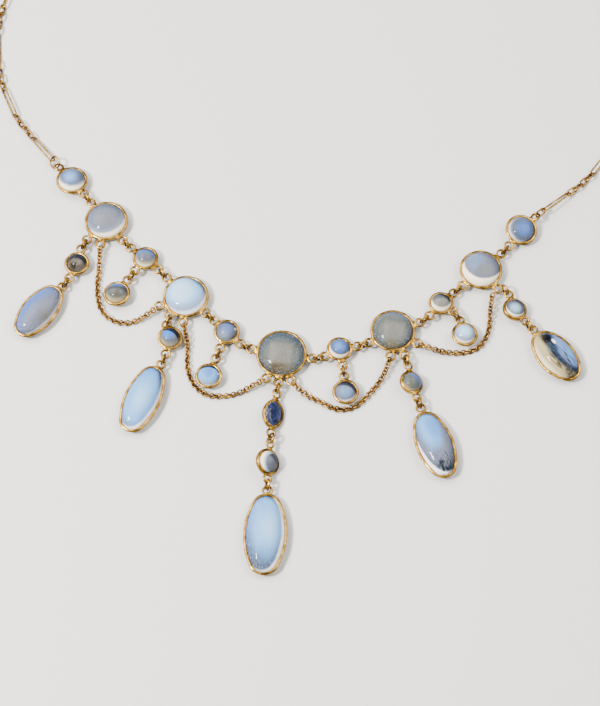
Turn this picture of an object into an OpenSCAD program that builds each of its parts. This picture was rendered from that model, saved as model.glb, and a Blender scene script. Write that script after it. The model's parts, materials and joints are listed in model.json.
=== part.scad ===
// Festoon necklace: a row of round moonstones with five drops, four small pendants and
// four chain swags, closed round the neck by a fine chain and a barrel clasp.
// It lies on a flat surface at z = 0. The row runs along X, the drops point to -Y
// and the neck chain closes towards +Y. All sizes are in millimetres.

/* [Settings] */
// Height of a gold rim, from its back edge to its lip
rim_height = 0.8; // [0.7:0.05:0.9]
// Thickness of the rim beside the stone's widest line
rim_wall = 0.38; // [0.35:0.01:0.4]
// How far the lip stands in over the stone, from the rim's outer edge
lip_reach = 0.45; // [0.42:0.01:0.47]
// Clearance between a stone and the inside of its rim
stone_gap = 0.11; // [0.09:0.01:0.13]
// Height of the middle of a flat lying rim above the surface
seat_height = 1.5; // [1.4:0.1:1.8]
// Height of a cabochon's dome above the middle of its rim, for the large rounds
dome_large = 2.1; // [1.8:0.1:2.4]
// The same for the small rounds
dome_small = 1.7; // [1.5:0.1:2]
// The same for the oval drops
dome_oval = 2.2; // [2:0.1:2.4]

/* [Loops and rings] */
// Radius of a soldered loop, at the middle of its wire
loop_radius = 0.85; // [0.8:0.05:0.85]
// Diameter of the loop's wire
loop_wire = 0.5; // [0.4:0.05:0.5]
// Gap between the far sides of two loops that a ring joins
loops_apart = 0.2; // [0.2:0.1:0.4]
// Diameter of a jump ring's wire
ring_wire = 0.5; // [0.4:0.05:0.5]
// Play between a ring and the loops that it joins
ring_play = 0.15; // [0.1:0.01:0.16]

/* [Swags] */
// Width of a swag's link
swag_link_width = 1.35; // [1.3:0.05:1.4]
// Diameter of its wire
swag_wire = 0.3; // [0.26:0.02:0.3]
// Distance from link to link, before it is fitted to the swag's length
swag_pitch = 0.92; // [0.9:0.02:1]
// Play between two links
link_play = 0.16; // [0.12:0.01:0.18]
// How much longer a swag's two end links are than half the others, on each side
end_link_extra = 0.1; // [0.08:0.01:0.12]

/* [Neck chain] */
// Diameter of the neck chain's wire
chain_wire = 0.4; // [0.36:0.02:0.4]
// Length of a short link
short_length = 2.75; // [2.6:0.05:2.9]
// Width of a short link
short_width = 1.6; // [1.5:0.05:1.7]
// Play between two links of the neck chain
chain_play = 0.22; // [0.16:0.01:0.22]
// Width of a long link, whose length follows from the chain's route
long_width = 1.5; // [1.5:0.05:1.6]
// Short links between two long ones
shorts_between = 4; // [4, 6]
// Long links in each half
longs_a_side = 9; // [8:1:9]
// Radius of the ring between an end setting and its chain, at the middle of its wire
end_ring_radius = 1.2; // [1.15:0.05:1.3]
// Length of the clasp's barrel
clasp_length = 9; // [8:0.5:10]
// Diameter of the clasp's barrel
clasp_diameter = 3.4; // [3:0.1:3.6]

/* [Hidden] */
$fn = 48;
wire_fn = 16;
Z = [0, 0, 1];

// Columns of the settings' table.
NAME = 0;
FROM = 1; // the setting that it hangs from
LEAVES = 2; // bearing of the loop on that setting, in degrees from +X
REACH = 3; // distance of that loop's centre from the rim's edge
HANGS = 4; // bearing from its own loop to the centre of the end that the loop is on
OWN = 5; // distance of its own loop's centre from its rim's edge
LONG = 6; // half its length
WIDE = 7; // half its width
TILT = 8; // lean of its face, in degrees
TOWARD = 9; // bearing that its face leans to
STONE = 10;
AXIS = 11; // bearing of its length, where that isn't HANGS

SETTINGS = [
  // name                from            leaves reach hangs own  long  wide tilt toward stone, axis
  ["centre",             "",                0, 0.0,    0, 0.0, 5.05, 5.05,  0,    0, "round"],
  ["spacer_inner_left",  "centre",        177, 1.1,  142, 1.3, 2.60, 2.60,  0,    0, "round"],
  ["inner_left",         "spacer_inner_left", 143, 0.9, 144, 0.9, 4.60, 4.60, 0,  0, "round"],
  ["spacer_outer_left",  "inner_left",    140, 1.2,  142, 1.2, 2.60, 2.60,  4,   90, "round"],
  ["outer_left",         "spacer_outer_left", 148, 1.3, 135, 1.3, 4.40, 4.40, 0,  0, "round"],
  ["end_left",           "outer_left",    135, 1.0,  135, 1.0, 3.20, 3.20,  5,   60, "round"],
  ["spacer_inner_right", "centre",         -3, 1.2,   35, 0.9, 2.55, 2.55,  0,    0, "round"],
  ["inner_right",        "spacer_inner_right", 16, 1.1, 35, 1.0, 4.50, 4.50, 0,   0, "round"],
  ["spacer_outer_right", "inner_right",    25, 1.2,   57, 1.3, 2.50, 2.50,  4,   90, "round"],
  ["outer_right",        "spacer_outer_right", 48, 1.0, 49, 1.0, 4.30, 4.30, 0,   0, "round"],
  ["end_right",          "outer_right",    47, 1.3,   60, 1.3, 3.20, 3.20, 10,  -50, "round"],
  ["pendant_outer_left", "spacer_outer_left", -119, 1.0, -118, 1.0, 2.70, 2.70, 4, 150, "round"],
  ["pendant_inner_left", "spacer_inner_left", -103, 1.3, -103, 1.3, 2.65, 2.65, 0, 0, "round"],
  ["pendant_inner_right", "spacer_inner_right", -75, 1.1, -78, 0.7, 2.60, 2.60, 0, 0, "round"],
  ["pendant_outer_right", "spacer_outer_right", -32, 0.5, -68, 0.6, 2.60, 2.60, 6, 40, "round"],
  ["drop_1_round",       "outer_left",   -125, 1.3,  -96, 0.9, 2.50, 2.50,  0,    0, "round"],
  ["drop_1_oval",        "drop_1_round", -107, 1.1, -129, 0.6, 6.40, 3.60,  0,    0, "oval", -118],
  ["drop_2_round",       "inner_left",   -122, 0.6,  -68, 0.4, 2.50, 2.50,  6,    0, "round"],
  ["drop_2_oval",        "drop_2_round",  -96, 1.1, -114, 0.8, 7.40, 3.65,  0,    0, "oval", -105],
  ["drop_3_sapphire",    "centre",        -89, 1.3,  -92, 1.3, 3.00, 2.30, 32,    0, "faceted"],
  ["drop_3_round",       "drop_3_sapphire", -88, 1.1, -89, 1.2, 2.60, 2.60, 38,   0, "round"],
  ["drop_3_oval",        "drop_3_round",  -84, 0.8,  -86, 0.7, 8.20, 4.20,  0,    0, "oval"],
  ["drop_4_round",       "inner_right",   -61, 1.3,  -74, 1.3, 2.45, 2.45, 26,   20, "round"],
  ["drop_4_oval",        "drop_4_round",  -66, 0.9,  -65, 0.9, 7.15, 3.75,  0,    0, "oval"],
  ["drop_5_round",       "outer_right",   -34, 1.1,  -66, 1.1, 2.45, 2.45, 15,   35, "round"],
  ["drop_5_oval",        "drop_5_round",  -46, 0.9,  -46, 0.9, 6.15, 3.80,  0,    0, "oval"]
];

// Each swag: a setting and the bearing of its loop, the same at the other end, and the
// points that the chain passes on the surface between them.
SWAGS = [
  ["outer_left", -94, "inner_left", -152,
    [[-39.1, 15.2], [-38.8, 10.4], [-37.5, 6.2], [-35, 4], [-31.8, 3.5], [-28.6, 5]]],
  ["inner_left", -88, "centre", -113,
    [[-19, 0.4], [-18.5, -3.8], [-17.2, -7.4], [-14.4, -9.9], [-10.8, -10.1], [-7.2, -8.9]]],
  ["centre", -65, "inner_right", -89,
    [[5.2, -7.8], [8.6, -9], [12.2, -10.3], [15.6, -9.4], [18.4, -6], [20.6, -2.2]]],
  ["inner_right", -23, "outer_right", -59,
    [[29.4, 4.6], [32.8, 4.4], [36.4, 4.8], [39.4, 6.7], [40.7, 10.6], [40.6, 14.4]]]
];

// Each half of the neck chain: the end setting, the bearing of its loop, that loop's
// twist, what the chain starts with, the rolls of that piece and of the first long link,
// and the points that the chain passes on the surface.
SIDES = [
  ["end_left", 138, 20, "ring", -45, 25,
    [[-57.5, 43.5], [-62.5, 49], [-66.8, 57.5], [-69.3, 69], [-67.6, 83], [-60, 97],
     [-46, 109], [-27, 117]]],
  ["end_right", 51, -40, "short link", 50, -40,
    [[53, 41.4], [58, 46.5], [63.4, 55.5], [66.3, 69], [64.6, 83], [57, 97],
     [43, 109], [24, 117]]]
];
CLASP_PLACE = [-1.5, 119.5];

// Sizes that follow from the driving dimensions.
stone_inset = rim_wall + stone_gap;
loop_outer = loop_radius + loop_wire / 2;
loop_span = 2 * loop_outer + loops_apart;
ring_radius = loops_apart / 2 + loop_wire + ring_play + ring_wire / 2;
back_depth = seat_height;
flat_cut = 0.2; // what the flat on a stone's back takes off its rounded depth
back_ellipse = back_depth + flat_cut;
function back_view(depth) = sqrt(1 - pow(depth / back_ellipse, 2));
oval_end = 0.72; // radius of an oval's ends, as a share of half its width
lying_roll = 45; // roll of a link that lies on the surface, the next one leaning the other way
swag_room = 0.09; // room for the wire under a lying swag's widest point
chain_room = 0.18; // the same under the neck chain
swag_lie = swag_link_width / 2 * sin(lying_roll) + swag_room; // height of a lying swag's middle
chain_lie = short_width / 2 * sin(lying_roll) + chain_room;
sapphire_seat = 0.2; // height of the sapphire's girdle above the middle of its rim
clasp_z = clasp_diameter / 2;
neck_radius = 0.28; // solder joint between a loop and its rim

// Directions and turns.
function bearing(a) = [cos(a), sin(a), 0];
function unit(v) = v / norm(v);
function leaned(v, tilt, toward) =
  let (axis = bearing(toward + 90))
  v * cos(tilt) + cross(axis, v) * sin(tilt) + axis * (axis * v) * (1 - cos(tilt));

// The settings' places: each one is reached by walking through its loop, its ring and
// the other loop from the one that it hangs from.
function number_of(name) = search([name], SETTINGS)[0];
function row(name) = SETTINGS[number_of(name)];
function is_round(s) = s[LONG] == s[WIDE];
function axis_of(s) = is_undef(s[AXIS]) ? s[HANGS] : s[AXIS];
// An oval's two ends are arcs of this radius, centred this far from its middle.
function end_radius(s) = is_round(s) ? s[LONG] : oval_end * s[WIDE];
function end_offset(s, a) =
  (s[LONG] - end_radius(s)) * bearing(axis_of(s)) * (cos(a - axis_of(s)) > 0 ? 1 : -1);
function loop_offset(s, a, reach) = end_offset(s, a) + (end_radius(s) + reach) * bearing(a);
function plan(s) =
  s[FROM] == "" ? [0, 0, 0] :
  let (p = row(s[FROM]))
  plan(p) + loop_offset(p, s[LEAVES], s[REACH])
    + loop_span * bearing((s[LEAVES] + s[HANGS]) / 2)
    - loop_offset(s, s[HANGS] + 180, s[OWN]);
// Height of a setting's middle at which its rim or its stone's flat back rests.
function rest_z(s) =
  let (
    flat = back_view(back_depth) * (s[WIDE] - stone_inset),
    on_rim = s[WIDE] * sin(s[TILT]) + rim_height / 2 * cos(s[TILT]),
    on_stone = back_depth * cos(s[TILT]) + flat * sin(s[TILT])
  )
  s[STONE] == "faceted" ? on_rim : max(on_rim, on_stone);
PLACES = [for (s = SETTINGS) plan(s) + rest_z(s) * Z];
function place(s) = PLACES[number_of(s[NAME])];
function loop_at(s, a, reach) =
  place(s) + leaned(loop_offset(s, a, reach), s[TILT], s[TOWARD]);

// All the loops on one setting: bearing, reach and twist.
swag_reach = 1.1;
chain_reach = 1.0;
function loops_on(s) = concat(
  s[FROM] == "" ? [] : [[s[HANGS] + 180, s[OWN], 0]],
  [for (c = SETTINGS) if (c[FROM] == s[NAME]) [c[LEAVES], c[REACH], 0]],
  [for (g = SWAGS) if (g[0] == s[NAME]) [g[1], swag_reach, 0]],
  [for (g = SWAGS) if (g[2] == s[NAME]) [g[3], swag_reach, 0]],
  [for (g = SIDES) if (g[0] == s[NAME]) [g[1], chain_reach, g[2]]]
);

// Smooth routes through points, measured along their length. They leave each end level,
// then come down to the height at which the chain lies.
function smooth(p, i, t) =
  let (a = p[max(i - 1, 0)], b = p[i], c = p[i + 1], d = p[min(i + 2, len(p) - 1)])
  0.5 * (2 * b + (c - a) * t + (2 * a - 5 * b + 4 * c - d) * t * t
    + (3 * b - a - 3 * c + d) * t * t * t);
steps = 12; // pieces of each stretch between two points
function curve(p) = [
  for (i = [0:len(p) - 2]) for (k = [0:steps - 1]) smooth(p, i, k / steps),
  p[len(p) - 1]
];
function lengths(c) = [for (i = 0, s = 0; i < len(c);
  s = s + (i + 1 < len(c) ? norm(c[i + 1] - c[i]) : 0), i = i + 1) s];
level_run = 1.7; // length that stays at the height of the loop
swag_down = 5; // length over which a swag comes down
chain_down = 10; // the same for the neck chain
height_steps = 400;
function lowered(s, down) = (1 - cos(180 * min(1, max(0, (s - level_run) / down)))) / 2;
function route_height(s, total, first, last, lie, down) =
  s < total / 2 ?
  first + (lie - first) * lowered(s, down) : last + (lie - last) * lowered(total - s, down);
function route(first, points, last, lie, down) =
  let (
    c = curve(concat([[first[0], first[1]]], points, [[last[0], last[1]]])),
    s = lengths(c), total = s[len(s) - 1]
  )
  concat(
    [for (axis = [0, 1]) [for (i = [0:len(c) - 1]) [s[i], c[i][axis]]]],
    [[for (i = [0:height_steps]) let (at = total * i / height_steps)
      [at, route_height(at, total, first[2], last[2], lie, down)]]]
  );
function route_length(r) = r[0][len(r[0]) - 1][0];
function on_route(r, s) = [for (axis = [0:2]) lookup(s, r[axis])];

// A link is its centre, its direction, its roll, half its length, its bend radius and
// its wire's radius. The middles of its two end wires lie on the route.
function link_on(r, s, roll, half, bend, w) =
  let (a = on_route(r, s - half + w), b = on_route(r, s + half - w))
  [(a + b) / 2, unit(b - a), roll, half, bend, w];
function link_width_way(l) =
  let (side = unit(cross(Z, l[1])))
  cos(l[2]) * side + sin(l[2]) * cross(l[1], side);
function link_extent(l, e) =
  (l[3] - l[4] - l[5]) * abs(l[1] * e)
    + l[4] * sqrt(pow(l[1] * e, 2) + pow(link_width_way(l) * e, 2)) + l[5];
// Distance from a loop's centre to that of the link in it, of half length half and wire
// radius r.
loop_play = 0.17;
function first_step(half, r) = loop_radius - loop_wire / 2 - loop_play - 2 * r + half;

// Swags.
function swag_route(g) = route(
  loop_at(row(g[0]), g[1], swag_reach), g[4], loop_at(row(g[2]), g[3], swag_reach),
  swag_lie, swag_down);
// A link stands upright in the loop at each end and leans by half a right angle where it lies.
function swag_roll(k, at, total) =
  let (base = 90 - lying_roll * lowered(min(at, total - at), swag_down))
  k % 2 == 0 ? base : base - 90;
function swag_links(g) =
  let (
    r = swag_route(g), w = swag_wire / 2, total = route_length(r),
    start = first_step((swag_pitch + link_play) / 2 + 2 * w + end_link_extra, w),
    run = total - 2 * start - 2 * end_link_extra,
    n = 2 * round(run / swag_pitch / 2) + 1,
    pitch = run / (n - 1), half = (pitch + link_play) / 2 + 2 * w
  )
  [for (k = [0:n - 1])
    let (
      at = start + k * pitch + (k > 0 ? end_link_extra : 0) + (k == n - 1 ? end_link_extra : 0),
      length = k == 0 || k == n - 1 ? half + end_link_extra : half
    )
    link_on(r, at, swag_roll(k, at, total), length, swag_link_width / 2 - w, w)];

// Neck chain: a ring or a short link, then a long link and some short ones over and over.
function side_route(g, i) =
  route(loop_at(row(g[0]), g[1], chain_reach), g[6], clasp_loop(i), chain_lie, chain_down);
clasp_loop_gap = 0.7; // from the clasp's end face to the centre of its loop
clasp_loop_reach = clasp_length / 2 + clasp_loop_gap;
function clasp_loop(i) =
  [CLASP_PLACE[0] + (i == 0 ? -1 : 1) * clasp_loop_reach, CLASP_PLACE[1], clasp_z];
function is_long(k) = k % (shorts_between + 1) == 1;
// The radius of a piece's bends and half its length. A ring has no straight stretch.
function chain_bend(g, k) =
  k == 0 && g[3] == "ring" ? end_ring_radius :
  ((is_long(k) ? long_width : short_width) - chain_wire) / 2;
function chain_half(g, k, long_half) =
  k == 0 && g[3] == "ring" ? end_ring_radius + chain_wire / 2 :
  is_long(k) ? long_half : short_length / 2;
function side_step(g, k, long_half) =
  chain_half(g, k, long_half) + chain_half(g, k + 1, long_half) - 2 * chain_wire - chain_play;
// Places of the pieces along the route, from the first one's.
function side_steps(g, n, start, long_half) = [
  for (k = 0, s = start; k < n; s = s + side_step(g, k, long_half), k = k + 1) s
];
function side_links(g, i) =
  let (
    r = side_route(g, i), w = chain_wire / 2,
    n = 1 + longs_a_side * (shorts_between + 1),
    start = first_step(chain_half(g, 0, 0), w),
    end = route_length(r) - first_step(short_length / 2, w),
    long_half = (end - side_steps(g, n, start, 0)[n - 1]) / (2 * longs_a_side),
    at = side_steps(g, n, start, long_half)
  )
  [for (k = [0:n - 1])
    link_on(r, at[k], side_roll(g, k), chain_half(g, k, long_half), chain_bend(g, k), w)];
turning_links = 8; // links over which the neck chain turns to its lying roll
function side_roll(g, k) =
  let (lying = g[5] < 0 ? -lying_roll : lying_roll)
  let (base = g[5] + (lying - g[5]) * min(1, k / turning_links))
  k == 0 ? g[4] : k % 2 == 1 ? base : base - 90;

SWAG_LINKS = [for (g = SWAGS) swag_links(g)];
SIDE_LINKS = [for (i = [0:1]) side_links(SIDES[i], i)];

// The middle of the whole necklace's box becomes the origin.
lowest = row("drop_3_oval");
min_y = (place(lowest) + end_offset(lowest, axis_of(lowest)))[1] - end_radius(lowest);
max_y = CLASP_PLACE[1] + clasp_diameter / 2;
min_x = min([for (l = SIDE_LINKS[0]) l[0][0] - link_extent(l, [1, 0, 0])]);
max_x = max([for (l = SIDE_LINKS[1]) l[0][0] + link_extent(l, [1, 0, 0])]);
ORIGIN = [(min_x + max_x) / 2, (min_y + max_y) / 2, 0];

// Solids.
module at_setting(s) {
  translate(place(s) - ORIGIN)
    rotate(a = s[TILT], v = bearing(s[TOWARD] + 90))
      children();
}

module round_wire(radius, wire, angle = 360) {
  rotate_extrude(angle = angle)
    translate([radius, 0])
      circle(r = wire / 2, $fn = wire_fn);
}

// Section of a rim whose outer edge is at x = r: a flat wall that leans in to its lip and
// to the seat that carries the stone.
lip_lean = 0.14; // how far the lip's outer edge stands in from the wall
foot_lean = 0.08; // the same at the back edge
seat_reach = 0.49; // how far the seat stands in from the rim's outer edge
function wall(r) = [
  [r - lip_reach, rim_height / 2], [r - rim_wall, rim_height * 0.15],
  [r - rim_wall, -rim_height * 0.3], [r - seat_reach, -rim_height / 2],
  [r - foot_lean, -rim_height / 2], [r, -rim_height * 0.25], [r, rim_height * 0.1],
  [r - lip_lean, rim_height / 2]
];

module wall_arc(r, middle, spread, share = 1) {
  centre = [r - rim_wall / 2, 0];
  rotate([0, 0, middle - spread])
    rotate_extrude(angle = 2 * spread)
      polygon([for (p = wall(r)) centre + share * (p - centre)]);
}

// An oval of half sizes a and b is two end arcs of radius e and two side arcs that meet
// them smoothly. This is a side arc's radius, and half the angle that it spans.
function side_radius(a, b, e) = (pow(a - e, 2) + b * b - e * e) / (2 * (b - e));
function side_spread(a, b, e) = atan2(a - e, side_radius(a, b, e) - b);

// A rim in its own frame, with its length along X. The side strips are a hair thinner
// than the end strips, and their ends are sunk in them.
sunk_angle = 1;
sunk_share = 0.98;
module rim(s) {
  if (is_round(s)) {
    rotate_extrude()
      polygon(wall(s[LONG]));
  } else {
    e = end_radius(s);
    side = side_radius(s[LONG], s[WIDE], e);
    spread = side_spread(s[LONG], s[WIDE], e);
    for (turn = [0, 180])
      rotate([0, 0, turn]) {
        translate([s[LONG] - e, 0, 0])
          wall_arc(e, 0, 90 - spread);
        translate([0, s[WIDE] - side, 0])
          wall_arc(side, 90, spread + sunk_angle, sunk_share);
      }
  }
}

// A soldered loop beside an edge of radius r, along X from that edge's centre.
module loop(r, reach, twist) {
  difference() {
    union() {
      translate([r + reach, 0, 0])
        rotate([twist, 0, 0])
          round_wire(loop_radius, loop_wire);
      if (reach > loop_radius)
        translate([r - rim_wall, 0, 0])
          rotate([0, 90, 0])
            cylinder(r = neck_radius, h = rim_wall + reach - loop_radius);
    }
    cylinder(r = r - rim_wall / 2, h = 2 * rim_height, center = true);
  }
}

module setting(s) {
  color("goldenrod")
    at_setting(s) {
      rotate([0, 0, axis_of(s)])
        rim(s);
      for (l = loops_on(s))
        translate(end_offset(s, l[0]))
          rotate([0, 0, l[0]])
            loop(end_radius(s), l[1], l[2]);
    }
}

// Side view of a cabochon: shares of its width and heights, from its back to its top.
function dome_height(s) = s[STONE] == "oval" ? dome_oval : s[LONG] > 4 ? dome_large : dome_small;
back_levels = [1, 0.75, 0.45];
front_angles = [10, 22, 34, 46, 57, 67, 78];
function side_view(s) = concat(
  [for (t = back_levels) [back_view(t * back_depth), -t * back_depth]],
  [[1, 0]],
  [for (f = front_angles) [cos(f), dome_height(s) * sin(f)]]
);

module round_stone(s) {
  r = s[LONG] - stone_inset;
  v = side_view(s);
  rotate_extrude()
    polygon(concat([[0, -back_depth]], [for (p = v) [r * p[0], p[1]]], [[0, dome_height(s)]]));
}

// Closed solid of rings of points, one above the other, with a flat base and a top point.
module stacked(rings, top) {
  n = len(rings[0]);
  last = len(rings) - 1;
  points = concat([for (r = rings) each r], [top]);
  sides = [for (k = [0:last - 1]) for (i = [0:n - 1]) let (j = (i + 1) % n)
    each [[k * n + i, (k + 1) * n + i, k * n + j], [k * n + j, (k + 1) * n + i, (k + 1) * n + j]]];
  cap = [for (i = [0:n - 1]) [last * n + i, (last + 1) * n, last * n + (i + 1) % n]];
  polyhedron(points, concat(sides, cap, [[for (i = [0:n - 1]) i]]));
}

end_arc_steps = 8; // pieces of an oval outline's end arc
side_arc_steps = 6; // pieces of its side arc
function oval_outline(a, b, e, inset) =
  let (side = side_radius(a, b, e), spread = side_spread(a, b, e))
  [for (turn = [1, -1]) each concat(
    [for (k = [0:end_arc_steps]) let (t = (90 - spread) * (2 * k / end_arc_steps - 1))
      turn * ([a - e, 0] + (e - inset) * [cos(t), sin(t)])],
    [for (k = [1:side_arc_steps - 1]) let (t = 90 + spread * (2 * k / side_arc_steps - 1))
      turn * ([0, b - side] + (side - inset) * [cos(t), sin(t)])]
  )];

module oval_stone(s) {
  outline = oval_outline(s[LONG], s[WIDE], end_radius(s), stone_inset);
  rings = [for (p = side_view(s)) [for (q = outline) [q[0] * p[0], q[1] * p[0], p[1]]]];
  rotate([0, 0, axis_of(s)])
    stacked(rings, [0, 0, dome_height(s)]);
}

// Cut sapphire: a flat table, two rows of crown facets, a girdle and a pointed back.
cut_sides = 12;
cut_levels = [
  // share of the width, height above the girdle, half steps that it is turned by
  [0.36, -0.75, 0], [0.74, -0.4, 1], [1, -0.04, 0], [1, 0.04, 0], [0.84, 0.34, 1], [0.6, 0.55, 0]
];
cut_gap = 0.05; // its ellipse is fuller than the rim's oval, so it is cut smaller
module cut_stone(s) {
  a = s[LONG] - stone_inset - cut_gap;
  b = s[WIDE] - stone_inset - cut_gap;
  rings = [for (c = cut_levels)
    let (share = c[0], height = sapphire_seat + c[1], half_steps = c[2])
    [for (i = [0:cut_sides - 1]) let (t = (i + half_steps / 2) * 360 / cut_sides)
      [a * share * cos(t), b * share * sin(t), height]]];
  rotate([0, 0, axis_of(s)])
    stacked(rings, [0, 0, rings[len(rings) - 1][0][2]]);
}

module stone(s) {
  color(s[STONE] == "faceted" ? "midnightblue" : "lightsteelblue")
    at_setting(s)
      if (s[STONE] == "round")
        round_stone(s);
      else if (s[STONE] == "oval")
        oval_stone(s);
      else
        cut_stone(s);
}

// Rings that join each setting's loop to the next one's, square to their faces.
function face(s) = leaned(Z, s[TILT], s[TOWARD]);
module jump_rings() {
  color("goldenrod")
    for (s = SETTINGS)
      if (s[FROM] != "") {
        a = loop_at(row(s[FROM]), s[LEAVES], s[REACH]);
        b = loop_at(s, s[HANGS] + 180, s[OWN]);
        way = unit(b - a);
        side = unit(cross(face(row(s[FROM])) + face(s), way));
        up = cross(way, side);
        frame = [for (i = [0:2]) [way[i], up[i], -side[i], (a + b)[i] / 2 - ORIGIN[i]]];
        multmatrix(frame)
          round_wire(ring_radius, ring_wire);
      }
}

// The straight wires are a hair thinner than the bends, and their ends are sunk in them.
sunk_end = 0.03;
module link(l) {
  wide = link_width_way(l);
  flat = cross(l[1], wide);
  straight = l[3] - l[4] - l[5];
  multmatrix([for (i = [0:2]) [l[1][i], wide[i], flat[i], l[0][i] - ORIGIN[i]]])
    if (straight < 0.01)
      round_wire(l[4], 2 * l[5]);
    else
      for (turn = [0, 180])
        rotate([0, 0, turn]) {
          translate([straight, 0, 0])
            rotate([0, 0, -90])
              round_wire(l[4], 2 * l[5], 180);
          translate([-straight - sunk_end, l[4], 0])
            rotate([0, 90, 0])
              cylinder(r = sunk_share * l[5], h = 2 * (straight + sunk_end), $fn = wire_fn);
        }
}

module chain(links) {
  color("goldenrod")
    for (l = links)
      link(l);
}

// Barrel clasp with a loop at each end, lying on the surface.
clasp_bevel = 0.4; // length of the slope round its end face
clasp_taper = 1.2; // length over which it comes to its full width
clasp_loop_turn = -45; // roll of its loops, across the links that they carry
module clasp() {
  r = clasp_diameter / 2;
  h = clasp_length / 2;
  color("goldenrod")
    translate([CLASP_PLACE[0], CLASP_PLACE[1], clasp_z] - ORIGIN) {
      rotate([0, 90, 0])
        rotate_extrude()
          polygon([[0, -h], [r * 0.5, -h], [r * 0.85, clasp_bevel - h], [r, clasp_taper - h],
            [r, h - clasp_taper], [r * 0.85, h - clasp_bevel], [r * 0.5, h], [0, h]]);
      for (way = [-1, 1])
        translate([way * clasp_loop_reach, 0, 0])
          rotate([clasp_loop_turn, 0, 0])
            round_wire(loop_radius, loop_wire);
    }
}

for (s = SETTINGS) {
  setting(s);
  stone(s);
}
jump_rings();
for (i = [0:len(SWAGS) - 1])
  chain(SWAG_LINKS[i]);
chain(SIDE_LINKS[0]);  // neck_chain_left
chain(SIDE_LINKS[1]);  // neck_chain_right
clasp();
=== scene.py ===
"""Looks of a festoon necklace on a pale table: gold settings, moonstones, a sapphire, fine chains."""

import json
from collections import namedtuple
from math import atan2, cos, degrees, hypot, pi, radians, sin, sqrt
from random import Random

import bpy
import numpy as np
from mathutils import Matrix, Vector

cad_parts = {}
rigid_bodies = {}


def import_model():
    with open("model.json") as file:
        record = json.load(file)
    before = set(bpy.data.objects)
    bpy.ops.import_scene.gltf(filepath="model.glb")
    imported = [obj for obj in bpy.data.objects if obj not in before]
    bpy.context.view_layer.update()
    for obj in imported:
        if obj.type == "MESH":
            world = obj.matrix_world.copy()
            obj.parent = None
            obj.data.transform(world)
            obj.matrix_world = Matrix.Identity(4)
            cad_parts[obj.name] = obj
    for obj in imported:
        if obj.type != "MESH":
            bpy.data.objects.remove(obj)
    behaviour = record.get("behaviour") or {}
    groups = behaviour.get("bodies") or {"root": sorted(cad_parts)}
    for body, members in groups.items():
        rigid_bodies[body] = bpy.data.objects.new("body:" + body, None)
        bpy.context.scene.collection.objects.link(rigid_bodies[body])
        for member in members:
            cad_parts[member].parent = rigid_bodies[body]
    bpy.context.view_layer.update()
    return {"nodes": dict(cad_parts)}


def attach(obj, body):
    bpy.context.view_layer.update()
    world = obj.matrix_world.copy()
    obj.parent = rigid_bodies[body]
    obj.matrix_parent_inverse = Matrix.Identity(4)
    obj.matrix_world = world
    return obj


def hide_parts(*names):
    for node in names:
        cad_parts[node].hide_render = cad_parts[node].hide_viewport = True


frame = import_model()
NODES = frame["nodes"]

# Pieces are modelled in millimetres and brought to metres when they are placed.
MM = 0.001

# The one faceted stone.
SAPPHIRE = "drop_3_sapphire"

# Stones, in millimetres: how far a stone's edge lies inside its rim's outer edge, how deep its
# back is, and how high its dome. A round rim wider than the large radius has the large dome.
STONE_INSET = 0.49
SAPPHIRE_INSET = 0.54
BACK_DEPTH = 1.5
SAPPHIRE_DEPTH = 0.55
DOME = {"large": 2.1, "small": 1.7, "oval": 2.2}
LARGE_RADIUS = 4.0

# A stone is round where its longer spread is under this many times its shorter one. The end
# arcs of an oval rim have this share of its half width as their radius.
ROUND_SPREAD = 1.1
OVAL_END = 0.72

# Levels of a cabochon's mesh: depths down its back, whose curve would close this far below the
# flat, and angles up its dome, in degrees. What lies this close to its axis is its top.
BACK_LEVELS = (BACK_DEPTH, 1.4, 1.2, 0.9, 0.5, 0.2)
BACK_CUT = 0.2
DOME_ANGLES = (4, 9, 15, 22, 30, 38, 46, 54, 62, 70, 78, 85)
AXIS_REACH = 0.001

# Section of a rim, in millimetres: distances from its outer edge, and heights above its middle.
# The wall leans in towards the table, and the lip is pressed down on the stone. Some walls
# stand straight.
RIM_LIP = [
    (-0.42, -0.10), (-0.42, 0.12), (-0.52, 0.22), (-0.42, 0.31), (-0.18, 0.31), (-0.02, 0.23), (0.06, 0.08)]
LEANING_WALL = [(-0.54, -0.45)] + RIM_LIP + [(0.05, -0.08), (-0.06, -0.26), (-0.30, -0.45)]
STRAIGHT_WALL = [(-0.36, -0.60)] + RIM_LIP + [(0.06, -0.20), (0.00, -0.60)]
STRAIGHT = (SAPPHIRE, "drop_3_round", "drop_4_round", "drop_5_round")

# Loops, in millimetres. Each is cut off this far inside the rim's outer edge. The solder at its
# foot sits this far out, and has half this depth, width and height.
LOOP_RADIUS = 0.85
LOOP_WIRE = 0.5
LOOP_CUT = 0.19
FOOT_OUT = 0.06
FOOT_HALVES = (0.28, 0.85, 0.3)

# Finding the loops on a setting's solid: they are what lies this far beyond the rim, in
# millimetres, and there are at least this many degrees between two of them.
LOOP_CLEAR = 0.3
LOOP_GAP = 1.6

# How a setting's parts are fused and worked: size of the voxels, depth of the unevenness and
# size of its waves, in millimetres, and the share of the faces that is kept.
FUSING_VOXEL = 0.07
UNEVEN_DEPTH = 0.11
UNEVEN_WAVE = 1.3
KEPT_FACES = 0.34

# Swag chains, in millimetres and degrees: round links that pull on each other, a quarter turn
# from one to the next, give or take the roll. A swag's end link holds the loop's wire, this far
# in from its solid's tip, and a link that lies lowest is this far clear of the table. The seed
# is that of the rolls.
LINK_WIRE = 0.34
LINK_RADIUS = 0.53
LINK_PITCH = 0.725
LINK_TIP = 0.7
LINK_ROLL = 9.0
LINK_CLEAR = 0.02
LINK_SEED = 11

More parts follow.
